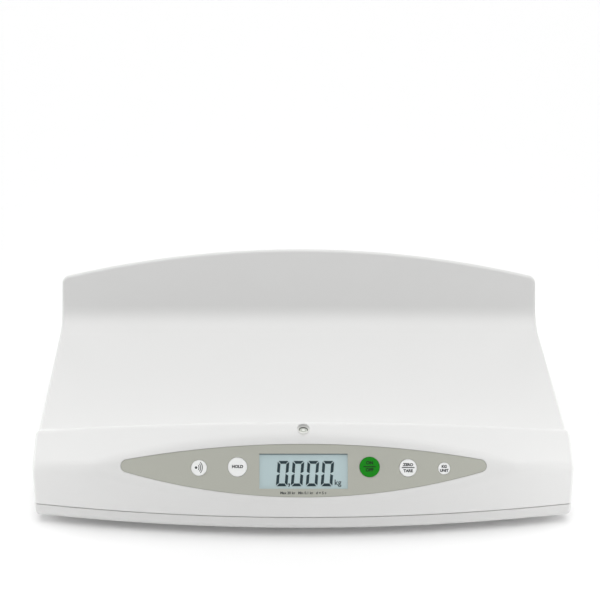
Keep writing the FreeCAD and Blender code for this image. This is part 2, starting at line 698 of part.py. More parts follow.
def board_parts():
    """Circuit board with switches, chips and buzzer."""
    board = box(("-outer_key_offset - board_margin", "-board_half_height - outer_key_drop", "-board_back"),
                ("outer_key_offset + unit_key_offset + 2 * board_margin", "2 * board_half_height",
                 "board_thickness"), PANEL)
    holes = [cylinder((x, "-outer_key_drop", "-board_back - overshoot"), "screw_radius + hole_clearance",
                      "board_thickness + 2 * overshoot", PANEL) for x in BOARD_SCREW_X]
    finish(cut(board, *holes), "display_board")
    bodies = []
    for name, x, up, radius in KEYS:
        block = centred_box((x, up, "-board_depth"), ("switch_size", "switch_size", "switch_height"),
                            PANEL)
        bore = cylinder((x, up, "plunger_stand - board_depth"), "plunger_radius + key_gap",
                        "switch_height", PANEL)
        bodies.append(cut(block, bore))
    finish(group(*bodies), "switch_bodies")
    back = "-board_back"
    finish(cylinder(("-buzzer_offset", "0", back + " - buzzer_height"), "buzzer_radius",
                    "buzzer_height", PANEL), "buzzer")
    chips = [centred_box((x, "0", back + " - chip_height"), (side, side, "chip_height"), PANEL)
             for x, side in (("0", "chip_size"), ("driver_pitch", "driver_size"),
                             ("2 * driver_pitch", "driver_size"))]
    finish(group(*chips), "board_chips")
    screws = []
    for x in BOARD_SCREW_X:
        head = cylinder((x, "-outer_key_drop", back + " - screw_head_height"), "screw_head_radius",
                        "screw_head_height", PANEL)
        shank = cylinder((x, "-outer_key_drop", back), "screw_radius", "board_thickness + screw_grip",
                         PANEL)
        screws.append(fuse(head, shank))
    finish(group(*screws), "board_screws")


def keys():
    """Five caps with their lips and posts, and the switch plungers behind them."""
    for name, x, up, radius in KEYS:
        cap = cylinder((x, up, "-lip_back"), radius, "lip_back - panel_recess + key_proud", PANEL)
        lip = cylinder((x, up, "-lip_back"), radius + " + key_lip", "key_lip_thickness", PANEL)
        post = cylinder((x, up, "-post_back"), "key_post_radius", "post_back - lip_front", PANEL)
        body = fuse(cap, lip, post)
        face = "panel_z + (%s) * cos(panel_tilt) + (key_proud - panel_recess) * sin(panel_tilt)" % up
        cap = chamfered(body, "key_edge", lambda e: is_face_edge(e, radius, face))
        finish(cap, name + "_key")
        plunger = cylinder((x, up, "-switch_front - plunger_stand"), "plunger_radius",
                           "switch_front + plunger_stand - post_back", PANEL)
        finish(plunger, name + "_plunger")


def is_face_edge(edge, radius, height_at_middle):
    """True for the round outer edge of a key's face."""
    if edge.Curve.TypeId != "Part::GeomCircle" or edge.Length < 1:
        return False
    centre = edge.Curve.Center
    return near(edge.Curve.Radius, radius, 0.01) and near(centre.z, height_at_middle, 0.01)


def spirit_level():
    """Cup and vial of the spirit level in the crest."""
    cup = cylinder(("0", "level_y", "level_z"), "level_radius", "level_height")
    hollow = cylinder(("0", "level_y", "level_z + level_wall"), "level_radius - level_wall",
                      "level_height")
    finish(cut(cup, hollow), "level_cup")
    finish(cylinder(("0", "level_y", "level_z + level_wall"), "level_radius - level_wall",
                    "level_height - 1.5 * level_wall"), "level_vial")


# ---------------------------------------------------------------- weighing mechanism

def weighing_mechanism():
    """Base plate, load cell with its spacers and screws, tray bracket, stops."""
    plate = box(("-plate_half_length", "-plate_half_depth", "plate_z"),
                ("2 * plate_half_length", "2 * plate_half_depth", "plate_thickness"))
    plate = rounded(plate, "plate_corner_radius", lambda e: e.BoundBox.ZLength > 1)
    shafts = [cylinder((x, y, "plate_z - overshoot"), "plate_screw_radius + hole_clearance",
                       "plate_thickness + 2 * overshoot")
              for x in PLATE_SCREW_X for y in PLATE_SCREW_Y]
    shafts += [cylinder((x, "0", "plate_z - overshoot"), "cell_screw_radius + hole_clearance",
                        "plate_thickness + 2 * overshoot") for x in FIXED_SCREW_X]
    finish(cut(plate, *shafts), "base_plate")

    def spacer(x, z, screws, name):
        block = centred_box((x, "0", z), ("spacer_length", "cell_depth", "spacer_thickness"))
        bores = [cylinder((a, "0", z + " - overshoot"), "cell_screw_radius + hole_clearance",
                          "spacer_thickness + 2 * overshoot") for a in screws]
        finish(cut(block, *bores), name)

    spacer("-cell_screw_x", "plate_z + plate_thickness", FIXED_SCREW_X, "lower_cell_spacer")
    spacer("cell_screw_x", "cell_z + cell_height", FREE_SCREW_X, "upper_cell_spacer")

    bar = centred_box(("0", "0", "cell_z"), ("cell_length", "cell_depth", "cell_height"))
    middle = "cell_z + cell_height / 2"
    window = [lying_bar((x, "-cell_depth", middle), "cell_bore_radius", "2 * cell_depth", "y")
              for x in ("-cell_bore_offset", "cell_bore_offset")]
    window.append(centred_box(("0", "0", middle + " - cell_slot_height / 2"),
                              ("2 * cell_bore_offset", "2 * cell_depth", "cell_slot_height")))
    threads = [cylinder((x, "0", "cell_z"), "cell_screw_radius", "cell_screw_grip")
               for x in FIXED_SCREW_X]
    threads += [cylinder((x, "0", "cell_z + cell_height - cell_screw_grip"), "cell_screw_radius",
                         "cell_screw_grip") for x in FREE_SCREW_X]
    finish(cut(bar, *(window + threads)), "load_cell")

    lower = []
    for x in FIXED_SCREW_X:
        head = cylinder((x, "0", "plate_z - cell_screw_head_height"), "cell_screw_head_radius",
                        "cell_screw_head_height")
        shank = cylinder((x, "0", "plate_z"), "cell_screw_radius",
                         "plate_thickness + spacer_thickness + cell_screw_grip")
        lower.append(fuse(head, shank))
    finish(group(*lower), "lower_cell_screws")
    upper = []
    for x in FREE_SCREW_X:
        head = cylinder((x, "0", "bracket_top"), "cell_screw_head_radius", "cell_screw_head_height")
        shank = cylinder((x, "0", "cell_z + cell_height - cell_screw_grip"), "cell_screw_radius",
                         "plate_thickness + spacer_thickness + cell_screw_grip")
        upper.append(fuse(head, shank))
    finish(group(*upper), "upper_cell_screws")

    bracket = box(("-bracket_half_length", "bracket_front", "bracket_z"),
                  ("2 * bracket_half_length", "bracket_back - bracket_front", "plate_thickness"))
    flanges = [box(("-bracket_half_length", y, "bracket_z - bracket_flange"),
                   ("2 * bracket_half_length", "plate_thickness", "bracket_flange"))
               for y in ("bracket_front", "bracket_back - plate_thickness")]
    holes = [cylinder((x, y, "bracket_z - overshoot"), "bracket_screw_radius + hole_clearance",
                      "plate_thickness + 2 * overshoot") for x in BRACKET_SCREW_X for y in BRACKET_SCREW_Y]
    holes += [cylinder((x, "0", "bracket_z - overshoot"), "cell_screw_radius + hole_clearance",
                       "plate_thickness + 2 * overshoot") for x in FREE_SCREW_X]
    finish(cut(fuse(bracket, *flanges), *holes), "platform_bracket")
    screws = []
    for x in BRACKET_SCREW_X:
        for y in BRACKET_SCREW_Y:
            head = cylinder((x, y, "bracket_z - bracket_screw_head_height"),
                            "bracket_screw_head_radius", "bracket_screw_head_height")
            shank = cylinder((x, y, "bracket_z"), "bracket_screw_radius",
                             "plate_thickness + bracket_screw_grip")
            screws.append(fuse(head, shank))
    finish(group(*screws), "bracket_screws")
    stops = [cylinder((x, y, "plate_z + plate_thickness"), "stop_radius",
                      "bracket_z - platform_travel - stop_clearance - plate_z - plate_thickness")
             for x in ("stop_inset - plate_half_length", "plate_half_length - stop_inset")
             for y in ("stop_inset_y - plate_half_depth", "plate_half_depth - stop_inset_y")]
    finish(group(*stops), "overload_stops")
    screws = []
    for x in PLATE_SCREW_X:
        for y in PLATE_SCREW_Y:
            head = cylinder((x, y, "plate_z + plate_thickness"), "plate_screw_head_radius",
                            "plate_screw_head_height")
            shank = cylinder((x, y, "floor_top"), "plate_screw_radius",
                             "plate_z + plate_thickness - floor_top")
            screws.append(fuse(head, shank))
    finish(group(*screws), "base_plate_screws")


# ---------------------------------------------------------------- housing

def base_block(inset, foot, top):
    """A slice of the housing's outer form between two heights, moved inwards."""
    block = box(("%s - half_width" % inset, "front_y - crest_rise", foot),
                ("width - 2 * (%s)" % inset, "skirt_y - (%s) - front_y + crest_rise" % inset,
                 "%s - (%s)" % (top, foot)))
    return common(block, bowed_front(inset))


def housing():
    """The lower part: floor, wall with its inner lip, bosses and battery box."""
    outer = base_block("0", "base_clearance", "base_top")
    outer = rounded(outer, "end_radius", is_corner_post)
    outer = rounded(outer, "underside_radius", lambda e: near(e.BoundBox.ZMax, "base_clearance"))
    outer = rounded(outer, "base_edge_radius", lambda e: near(e.BoundBox.ZMin, "base_top"))
    lip = base_block("lip_inset", "floor_top", "base_top + lip_height")
    hollow = base_block("lip_inset + lip_thickness", "floor_top", "base_top + 2 * lip_height")
    shell = cut(fuse(outer, lip), hollow)
    added = []
    cuts = []
    for x, y in FEET:
        added.append(cylinder((x, y, "base_clearance"), "wheel_radius + recess_gap + floor_thickness",
                              "recess_top + floor_thickness - base_clearance"))
        added.append(cylinder((x, y, "base_clearance"), "insert_radius + foot_boss_wall",
                              "recess_top + insert_length - base_clearance"))
        cuts.append(cylinder((x, y, "0"), "wheel_radius + recess_gap", "recess_top"))
        cuts.append(cylinder((x, y, "0"), "insert_radius", "height"))
    for x in PLATE_SCREW_X:
        for y in PLATE_SCREW_Y:
            added.append(cylinder((x, y, "base_clearance"), "plate_boss_radius",
                                  "plate_z - base_clearance"))
            cuts.append(cylinder((x, y, "floor_top"), "plate_screw_radius", "plate_gap"))
    for y in ("-plate_half_depth / 2", "plate_half_depth / 2"):
        added.append(centred_box(("0", y, "base_clearance"),
                                 ("2 * plate_half_length", "rib_thickness", "plate_z - base_clearance")))
    added.append(box(("box_start_x", "pocket_y - box_wall", "base_clearance"),
                     ("pocket_length + 2 * box_wall", "pocket_depth + 2 * box_wall",
                      "pocket_z + pocket_height + box_roof - base_clearance")))
    cuts.append(box(("pocket_x", "pocket_y", "0"), ("pocket_length", "pocket_depth",
                                                     "pocket_z + pocket_height")))
    cuts += door_space()
    shell = cut(fuse(shell, *added), *cuts)
    finish(shell, "base_shell")
    inserts = []
    for x, y in FEET:
        bush = cylinder((x, y, "recess_top"), "insert_radius", "insert_length")
        bore = cylinder((x, y, "0"), "stud_radius + running_fit", "height")
        inserts.append(cut(bush, bore))
    finish(group(*inserts), "foot_inserts")


def is_corner_post(edge):
    """True for the four corner edges of the housing's wall."""
    b = edge.BoundBox
    return at_end(edge) and near(b.ZLength, "base_wall_height")


# ---------------------------------------------------------------- battery box

DOOR_END = "pocket_x + pocket_length + door_lap"
DOOR_Y = "pocket_y - door_lap"
DOOR_DEPTH = "pocket_depth + 2 * door_lap"


def door_space():
    """What the door, its hinge and a fingertip need in the housing."""
    seat = box(("hinge_x", DOOR_Y + " - door_gap", "0"),
               (DOOR_END + " + door_gap - hinge_x", DOOR_DEPTH + " + 2 * door_gap", "pocket_z"))
    barrel = lying_bar(("hinge_x", DOOR_Y + " - door_gap", "hinge_z"), "barrel_radius + door_gap",
                       DOOR_DEPTH + " + 2 * door_gap", "y")
    swing = box(("hinge_x - barrel_radius - door_gap", DOOR_Y + " - door_gap", "0"),
                ("barrel_radius + door_gap", DOOR_DEPTH + " + 2 * door_gap", "hinge_z"))
    pins = lying_bar(("hinge_x", DOOR_Y + " - pin_length - door_gap", "hinge_z"),
                     "pin_radius + running_fit", DOOR_DEPTH + " + 2 * (pin_length + door_gap)", "y")
    notch = cylinder((DOOR_END, "box_centre_y", "0"), "latch_width / 2",
                     "base_clearance + door_thickness / 2")
    return [seat, barrel, swing, pins, notch]


def battery_parts():
    """Door with its hinge barrel and latch, batteries and contacts."""
    plate = box(("hinge_x", DOOR_Y, "base_clearance"),
                (DOOR_END + " - hinge_x", DOOR_DEPTH, "door_thickness"))
    barrel = lying_bar(("hinge_x", DOOR_Y, "hinge_z"), "barrel_radius", DOOR_DEPTH, "y")
    pins = lying_bar(("hinge_x", DOOR_Y + " - pin_length", "hinge_z"), "pin_radius",
                     DOOR_DEPTH + " + 2 * pin_length", "y")
    latch = box(("pocket_x + pocket_length - door_gap - latch_thickness",
                 "box_centre_y - latch_width / 2", "base_clearance"),
                ("latch_thickness", "latch_width", "door_thickness + latch_height"))
    notch = cylinder((DOOR_END, "box_centre_y", "0"), "latch_width / 2",
                     "base_clearance + door_thickness / 2")
    finish(cut(fuse(plate, barrel, pins, latch), notch), "battery_door")
    cells = []
    plates = []
    for n in range(int(size("cell_count"))):
        y = "pocket_y + battery_pitch * %s" % (n + 0.5)
        start = "pocket_x + contact_space / 2"
        can = lying_bar((start, y, "battery_z"), "battery_radius",
                        "battery_length - battery_cap_height", "x")
        cap = lying_bar((start, y, "battery_z"), "battery_cap_radius", "battery_length", "x")
        cells.append(fuse(can, cap))
        spring = lying_bar(("pocket_x", y, "battery_z"), "contact_spring_radius", "contact_space / 2", "x")
        stud = lying_bar((start + " + battery_length", y, "battery_z"), "battery_cap_radius",
                         "contact_space / 2", "x")
        plates += [spring, stud]
    finish(group(*cells), "batteries")
    for x in ("pocket_x", "pocket_x + pocket_length - contact_thickness"):
        plates.append(box((x, "pocket_y + battery_pitch / 4", "battery_z - battery_radius / 2"),
                          ("contact_thickness", "pocket_depth - battery_pitch / 2", "battery_radius")))
    finish(fuse(*plates), "battery_contacts")


# ---------------------------------------------------------------- levelling feet

def levelling_feet():
    """Four feet: rubber pad, threaded stud and thumb wheel."""
    for number, (x, y) in enumerate(FEET, 1):
        pad = cylinder((x, y, "0"), "pad_radius", "pad_height")
        socket = cylinder((x, y, "pad_height - pad_socket_depth"), "stud_tip_radius + running_fit",
                          "pad_height")
        finish(cut(pad, socket), "foot_pad_%d" % number)
        tip = cylinder((x, y, "pad_height - pad_socket_depth + axial_gap"), "stud_tip_radius", "pad_height")
        shank = cylinder((x, y, "wheel_z"), "stud_radius", "stud_length")
        finish(fuse(tip, shank), "foot_stud_%d" % number)
        wheel = cylinder((x, y, "wheel_z"), "wheel_radius", "wheel_height")
        cuts = [cylinder((x, y, "0"), "stud_radius", "height")]
        for k in range(int(size("wheel_scallops"))):
            turn = "%d * 360 / wheel_scallops" % k
            cuts.append(cylinder(("%s + wheel_radius * cos(%s)" % (x, turn),
                                  "%s + wheel_radius * sin(%s)" % (y, turn), "0"),
                                 "wheel_scallop_radius", "height"))
        finish(cut(wheel, *cuts), "foot_wheel_%d" % number)


# ---------------------------------------------------------------- places of repeated pieces

KEYS = (
    ("sound", "-outer_key_offset", "-outer_key_drop", "sound_key_radius"),
    ("hold", "-inner_key_offset", "-inner_key_drop", "hold_key_radius"),
    ("power", "inner_key_offset", "-inner_key_drop", "power_key_radius"),
    ("zero", "outer_key_offset", "-outer_key_drop", "zero_key_radius"),
    ("unit", "unit_key_offset", "-unit_key_drop", "unit_key_radius"),
)
BOARD_SCREW_X = (
    "-(inner_key_offset + hold_key_radius + outer_key_offset - sound_key_radius) / 2",
    "(inner_key_offset + power_key_radius + outer_key_offset - zero_key_radius) / 2",
    "(outer_key_offset + zero_key_radius + unit_key_offset - unit_key_radius) / 2",
)
BRACKET_SCREW_X = ("bracket_screw_inset - bracket_half_length", "bracket_half_length - bracket_screw_inset")
BRACKET_SCREW_Y = ("bracket_front + bracket_screw_inset", "bracket_back - bracket_screw_inset")
PLATE_SCREW_X = ("plate_screw_inset - plate_half_length", "plate_half_length - plate_screw_inset")
PLATE_SCREW_Y = ("plate_screw_inset - plate_half_depth", "plate_half_depth - plate_screw_inset")
FIXED_SCREW_X = ("-cell_screw_x - cell_screw_pitch / 2", "cell_screw_pitch / 2 - cell_screw_x")
FREE_SCREW_X = ("cell_screw_x - cell_screw_pitch / 2", "cell_screw_x + cell_screw_pitch / 2")
TRAY_RIB_X = ("-bracket_half_length - rib_spacing", "bracket_screw_inset - bracket_half_length",
              "bracket_half_length - bracket_screw_inset", "bracket_half_length + rib_spacing")
FEET = (("-foot_x", "foot_front_y"), ("foot_x", "foot_front_y"),
        ("-foot_x", "foot_back_y"), ("foot_x", "foot_back_y"))


def check_and_write():
    """Stop on any broken object, then write every sub-part."""
    doc.recompute()
    for item in doc.Objects:
        if "Invalid" in item.State or "Error" in item.State:
            raise RuntimeError("%s %s is %s" % (item.Name, item.Label, item.State))
    os.makedirs("parts", exist_ok=True)
    for item in pieces:
        shape = item.Shape
        if shape.isNull() or not shape.isValid() or not shape.Solids:
            raise RuntimeError("%s has no sound solid" % item.Label)
        shape.exportStep("parts/%s.step" % item.Label)


def main():
    """Build every sub-part and write it."""
    fill_sheet()
    tray_shell()
    panel_and_display()
    board_parts()
    keys()
    spirit_level()
    weighing_mechanism()
    housing()
    battery_parts()
    levelling_feet()
    check_and_write()


main()
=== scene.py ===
"""Looks of the digital baby weighing scale: finishes, lettering, display, spirit level, stage."""

import json
import math

import bmesh
import bpy
from mathutils import Matrix, Vector


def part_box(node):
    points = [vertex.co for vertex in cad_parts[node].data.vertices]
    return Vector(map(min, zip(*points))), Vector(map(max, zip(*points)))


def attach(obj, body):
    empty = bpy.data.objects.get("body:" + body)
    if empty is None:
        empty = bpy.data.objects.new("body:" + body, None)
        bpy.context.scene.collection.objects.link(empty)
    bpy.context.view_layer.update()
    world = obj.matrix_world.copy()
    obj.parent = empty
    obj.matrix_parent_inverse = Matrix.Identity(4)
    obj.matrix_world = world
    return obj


bl_info = {
    "name": "Baby Scale Looks",
    "version": (1, 0, 0),
    "blender": (4, 5, 0),
    "location": "View3D > Sidebar > Baby Scale",
    "description": "Finishes, lettering and display of a baby weighing scale",
    "category": "Object",
}

MM = 0.001
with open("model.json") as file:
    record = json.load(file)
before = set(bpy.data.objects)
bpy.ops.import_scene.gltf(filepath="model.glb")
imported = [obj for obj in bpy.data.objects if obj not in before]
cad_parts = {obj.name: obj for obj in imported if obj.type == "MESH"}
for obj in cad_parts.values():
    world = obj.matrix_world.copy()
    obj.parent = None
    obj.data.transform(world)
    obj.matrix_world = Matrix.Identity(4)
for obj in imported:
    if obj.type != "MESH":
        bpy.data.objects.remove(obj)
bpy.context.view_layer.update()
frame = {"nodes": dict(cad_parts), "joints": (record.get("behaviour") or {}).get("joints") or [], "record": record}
nodes = frame["nodes"]
joints = {joint["name"]: joint for joint in frame["joints"]}


def panel_frame():
    """The panel's own frame: +X across, +Y up the panel, +Z out of it, origin on its long axis.

    Its lean is that of the display glass's front face, which lies parallel to the panel.
    """
    fronts = [face for face in nodes["lcd_glass"].data.polygons if face.normal.y < 0]
    outward = max(fronts, key=lambda face: face.area).normal.normalized()
    across = Vector((1, 0, 0))
    matrix = Matrix((across, outward.cross(across), outward)).transposed().to_4x4()
    matrix.translation = Vector((0, *joints["power_press"]["pos_m"][1:]))
    return matrix


PANEL = panel_frame()


# ---------------------------------------------------------------- settings

def linear(code):
    """An sRGB hex code as a linear RGB colour."""
    channels = [int(code[i:i + 2], 16) / 255 for i in (0, 2, 4)]
    return tuple(c / 12.92 if c <= 0.04045 else ((c + 0.055) / 1.055) ** 2.4 for c in channels)


def colour(name, description, code):
    """A colour setting with an sRGB hex default."""
    return bpy.props.FloatVectorProperty(name=name, description=description, default=linear(code),
                                         subtype="COLOR", size=3, min=0.0, max=1.0)


def length(name, description, millimetres):
    """A length setting in metres with a default in millimetres."""
    return bpy.props.FloatProperty(name=name, description=description, unit="LENGTH",
                                   default=millimetres * MM, precision=5)


class ScaleColours(bpy.types.PropertyGroup):
    """Colours that a user would change."""

    shell: colour("Shell", "White of the tray and console", "EBEBEA")
    housing: colour("Housing", "White of the lower housing", "E2E2E1")
    panel: colour("Panel", "Grey of the panel foil", "BABBB1")
    power_key: colour("Power key", "Green of the power key", "008C00")
    key: colour("Keys", "White of the other keys", "FCFDFC")
    ink: colour("Ink", "Lettering on the white keys and the panel", "34383A")
    display: colour("Display", "Lit ground of the display", "B8C0C0")
    digits: colour("Digits", "Dark segments of the display", "2A3D43")


class ScaleSizes(bpy.types.PropertyGroup):
    """Sizes that a user would change."""

    digit_height: length("Digit height", "Height of the display's digits", 25.6)
    digit_width: length("Digit width", "Width of a digit without its slant", 11.8)
    digit_pitch: length("Digit pitch", "Distance from digit to digit", 15.15)
    digit_stroke: length("Digit stroke", "Width of a segment", 2.95)
    digit_slant: bpy.props.FloatProperty(
        name="Digit slant", description="Lean of the digits to the right",
        default=math.radians(4.6), subtype="ANGLE")
    print_depth: length("Print thickness", "Thickness of printed lettering", 0.03)
    floor_side: length("Floor", "Side of the floor", 9000)
    camera_lens: length("Lens", "Focal length of the camera", 80.9)


def colours():
    """The scene's colour settings."""
    return bpy.context.scene.scale_colours


def sizes():
    """The scene's size settings."""
    return bpy.context.scene.scale_sizes


# ---------------------------------------------------------------- finishes

PLASTIC_IOR = 1.54
ACRYLIC_IOR = 1.49
# most values of a noise pattern lie between these two
NOISE_LOW, NOISE_HIGH = 0.3, 0.7
# sockets that share their name with others of their node go by number
MIX_SHARE, MIX_A, MIX_B, MIX_RESULT = 0, 6, 7, 2
SHADER_A, SHADER_B = 1, 2
MATH_A, MATH_B = 0, 1


def shade(colour_value, factor):
    """A colour made lighter or darker."""
    return tuple(min(1.0, channel * factor) for channel in colour_value[:3])


def per_mm(size):
    """The scale of a pattern whose features are so many millimetres across."""
    return 1 / (size * MM)


def add(tree, kind, inputs, **settings):
    """Add a shader node with its settings; an input is a constant or another node's output."""
    made = tree.nodes.new(kind)
    for name, value in settings.items():
        setattr(made, name, value)
    for name, value in inputs.items():
        socket = made.inputs[name]
        if isinstance(value, bpy.types.NodeSocket):
            tree.links.new(value, socket)
        elif socket.type == "RGBA":
            socket.default_value = (*value[:3], 1.0)
        else:
            socket.default_value = value
    return made


def start(name):
    """A new node material, its empty tree and the place on the object in metres."""
    material = bpy.data.materials.new(name)
    material.use_nodes = True
    tree = material.node_tree
    tree.nodes.clear()
    return material, tree, add(tree, "ShaderNodeTexCoord", {}).outputs["Object"]


def moulded_plastic(name, body, roughness, grain_mm, relief_mm):
    """Injection-moulded plastic from a spark-eroded mould.

    The fine grain breaks up the gloss, and a faint clouding keeps large faces from looking painted.
    The foil, the chips' epoxy and the level's liquid take it too, with a finer grain.
    """
    cloud_mm = 90
    clouded = shade(body, 0.985)
    smoothest, roughest = roughness - 0.04, roughness + 0.05
    material, tree, place = start(name)
    grain = add(tree, "ShaderNodeTexNoise",
                {"Vector": place, "Scale": per_mm(grain_mm), "Detail": 3.0}).outputs["Fac"]
    clouds = add(tree, "ShaderNodeTexNoise",
                 {"Vector": place, "Scale": per_mm(cloud_mm), "Detail": 1.0}).outputs["Fac"]
    tone = add(tree, "ShaderNodeMix", {MIX_SHARE: clouds, MIX_A: clouded, MIX_B: body},
               data_type="RGBA").outputs[MIX_RESULT]
    gloss = add(tree, "ShaderNodeMapRange", {
        "Value": grain, "From Min": NOISE_LOW, "From Max": NOISE_HIGH,
        "To Min": smoothest, "To Max": roughest}).outputs["Result"]
    relief = add(tree, "ShaderNodeBump",
                 {"Height": grain, "Distance": relief_mm * MM}).outputs["Normal"]
    shader = add(tree, "ShaderNodeBsdfPrincipled",
                 {"Base Color": tone, "Roughness": gloss, "Normal": relief, "IOR": PLASTIC_IOR})
    add(tree, "ShaderNodeOutputMaterial", {"Surface": shader.outputs["BSDF"]})
    return material


def screen_print(name, body):
    """Screen-printed ink: matt, with slightly uneven cover from the threads of the screen.

    The threads stand 0.1 mm apart; they are drawn 0.8 mm apart so that the unevenness shows.
    """
    thread_mm, relief_mm = 0.8, 0.004
    thin, thick = shade(body, 0.9), shade(body, 1.1)
    material, tree, place = start(name)
    cover = add(tree, "ShaderNodeTexNoise",
                {"Vector": place, "Scale": per_mm(thread_mm), "Detail": 2.0}).outputs["Fac"]
    tone = add(tree, "ShaderNodeMix", {MIX_SHARE: cover, MIX_A: thin, MIX_B: thick},
               data_type="RGBA").outputs[MIX_RESULT]
    relief = add(tree, "ShaderNodeBump",
                 {"Height": cover, "Distance": relief_mm * MM}).outputs["Normal"]
    shader = add(tree, "ShaderNodeBsdfPrincipled",
                 {"Base Color": tone, "Roughness": 0.6, "Normal": relief})
    add(tree, "ShaderNodeOutputMaterial", {"Surface": shader.outputs["BSDF"]})
    return material


def worked_metal(name, body, roughness, line_mm, stretch):
    """Milled, turned, rolled or plated metal: fine lines along X under a soft sheen."""
    cloud_mm, relief_mm = 14, 0.01
    clouded = shade(body, 0.86)
    smoothest, roughest = roughness - 0.08, roughness + 0.1
    material, tree, place = start(name)
    along = add(tree, "ShaderNodeMapping", {"Vector": place, "Scale": (1 / stretch, 1.0, 1.0)})
    lines = add(tree, "ShaderNodeTexNoise", {
        "Vector": along.outputs["Vector"], "Scale": per_mm(line_mm), "Detail": 3.0}).outputs["Fac"]
    clouds = add(tree, "ShaderNodeTexNoise",
                 {"Vector": place, "Scale": per_mm(cloud_mm), "Detail": 2.0}).outputs["Fac"]
    tone = add(tree, "ShaderNodeMix", {MIX_SHARE: clouds, MIX_A: clouded, MIX_B: body},
               data_type="RGBA").outputs[MIX_RESULT]
    gloss = add(tree, "ShaderNodeMapRange", {
        "Value": lines, "From Min": NOISE_LOW, "From Max": NOISE_HIGH,
        "To Min": smoothest, "To Max": roughest}).outputs["Result"]
    relief = add(tree, "ShaderNodeBump",
                 {"Height": lines, "Distance": relief_mm * MM}).outputs["Normal"]
    shader = add(tree, "ShaderNodeBsdfPrincipled",
                 {"Base Color": tone, "Metallic": 1.0, "Roughness": gloss, "Normal": relief})
    add(tree, "ShaderNodeOutputMaterial", {"Surface": shader.outputs["BSDF"]})
    return material


def moulded_rubber(name, body):
    """Moulded rubber: dull, with pale dust caught in its grain."""
    grain_mm, relief_mm = 0.7, 0.04
    dust_begins, dust_covers = 0.45, 0.75
    dusty = shade(body, 1.8)
    material, tree, place = start(name)
    grain = add(tree, "ShaderNodeTexNoise",
                {"Vector": place, "Scale": per_mm(grain_mm), "Detail": 3.0}).outputs["Fac"]
    dust = add(tree, "ShaderNodeMapRange", {
        "Value": grain, "From Min": dust_begins, "From Max": dust_covers}).outputs["Result"]
    tone = add(tree, "ShaderNodeMix", {MIX_SHARE: dust, MIX_A: body, MIX_B: dusty},
               data_type="RGBA").outputs[MIX_RESULT]
    relief = add(tree, "ShaderNodeBump",
                 {"Height": grain, "Distance": relief_mm * MM}).outputs["Normal"]
    shader = add(tree, "ShaderNodeBsdfPrincipled",
                 {"Base Color": tone, "Roughness": 0.85, "Normal": relief})
    add(tree, "ShaderNodeOutputMaterial", {"Surface": shader.outputs["BSDF"]})
    return material


def clear_acrylic(name, tint, roughness):
    """Clear acrylic with an etched face: shows what lies under it, with a soft grey glare.

    Only the outer face glares; the rays aren't bent here, so the inner face would mirror wrongly.
    """
    etch_mm, relief_mm = 0.6, 0.004
    material, tree, place = start(name)
    etch = add(tree, "ShaderNodeTexNoise",
               {"Vector": place, "Scale": per_mm(etch_mm), "Detail": 1.0}).outputs["Fac"]
    relief = add(tree, "ShaderNodeBump",
                 {"Height": etch, "Distance": relief_mm * MM}).outputs["Normal"]
    through = add(tree, "ShaderNodeBsdfTransparent", {"Color": tint}).outputs["BSDF"]
    glare = add(tree, "ShaderNodeBsdfGlossy",
                {"Roughness": roughness, "Normal": relief}).outputs["BSDF"]
    share = add(tree, "ShaderNodeFresnel", {"IOR": ACRYLIC_IOR}).outputs["Fac"]
    inner = add(tree, "ShaderNodeNewGeometry", {}).outputs["Backfacing"]
    outer_share = add(tree, "ShaderNodeMath", {MATH_A: share, MATH_B: inner},
                      operation="SUBTRACT", use_clamp=True).outputs["Value"]
    both = add(tree, "ShaderNodeMixShader",
               {"Fac": outer_share, SHADER_A: through, SHADER_B: glare})
    add(tree, "ShaderNodeOutputMaterial", {"Surface": both.outputs["Shader"]})
    return material


def lit_display(name, body):
    """Liquid crystal glass over its light guide: grey-blue, faintly speckled, glowing a little."""
    speckle_mm, cloud_mm = 0.5, 45
    dim, bright, speckled = shade(body, 0.94), shade(body, 1.04), shade(body, 0.9)
    material, tree, place = start(name)
    speckle = add(tree, "ShaderNodeTexNoise",
                  {"Vector": place, "Scale": per_mm(speckle_mm), "Detail": 2.0}).outputs["Fac"]
    clouds = add(tree, "ShaderNodeTexNoise",
                 {"Vector": place, "Scale": per_mm(cloud_mm), "Detail": 1.0}).outputs["Fac"]
    even = add(tree, "ShaderNodeMix", {MIX_SHARE: clouds, MIX_A: dim, MIX_B: bright},
               data_type="RGBA").outputs[MIX_RESULT]
    tone = add(tree, "ShaderNodeMix", {MIX_SHARE: speckle, MIX_A: even, MIX_B: speckled},
               data_type="RGBA").outputs[MIX_RESULT]
    shader = add(tree, "ShaderNodeBsdfPrincipled", {
        "Base Color": tone, "Roughness": 0.45, "Emission Color": tone, "Emission Strength": 0.58})
    add(tree, "ShaderNodeOutputMaterial", {"Surface": shader.outputs["BSDF"]})
    return material


